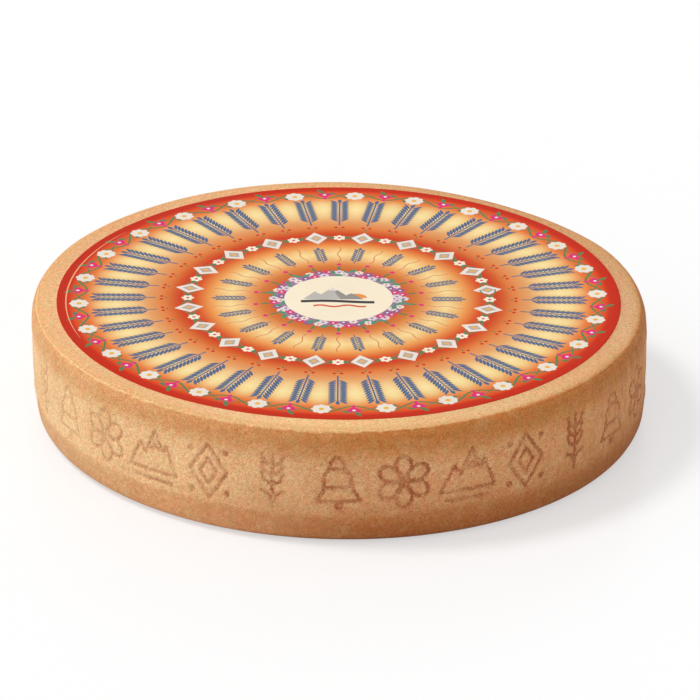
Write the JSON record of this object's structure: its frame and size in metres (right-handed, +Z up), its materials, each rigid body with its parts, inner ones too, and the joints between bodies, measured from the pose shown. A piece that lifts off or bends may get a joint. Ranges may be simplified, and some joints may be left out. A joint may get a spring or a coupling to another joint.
{
  "type": "gruyere cheese wheel",
  "caption": "Whole round of hard mountain cheese with a rounded rim and foot, a shallow pressed band round its side and a round printed paper label on top.",
  "frame": {"origin": "centre of the wheel's foot, on the surface it stands on", "axes": "+Z up along the wheel's axis; the label is centred a little behind the axis, towards +Y; -Y is the side seen first"},
  "size_m": [0.589, 0.5889, 0.112],
  "materials": {
    "rind": "dry washed rind with a cloth-marked grain, golden tan, browner on the side",
    "label_paper": "printed paper, satin, in red, orange and yellow"
  },
  "bodies": {
    "root": {"cheese_wheel": "rind", "paper_label": "label_paper"}
  },
  "joints": []
}
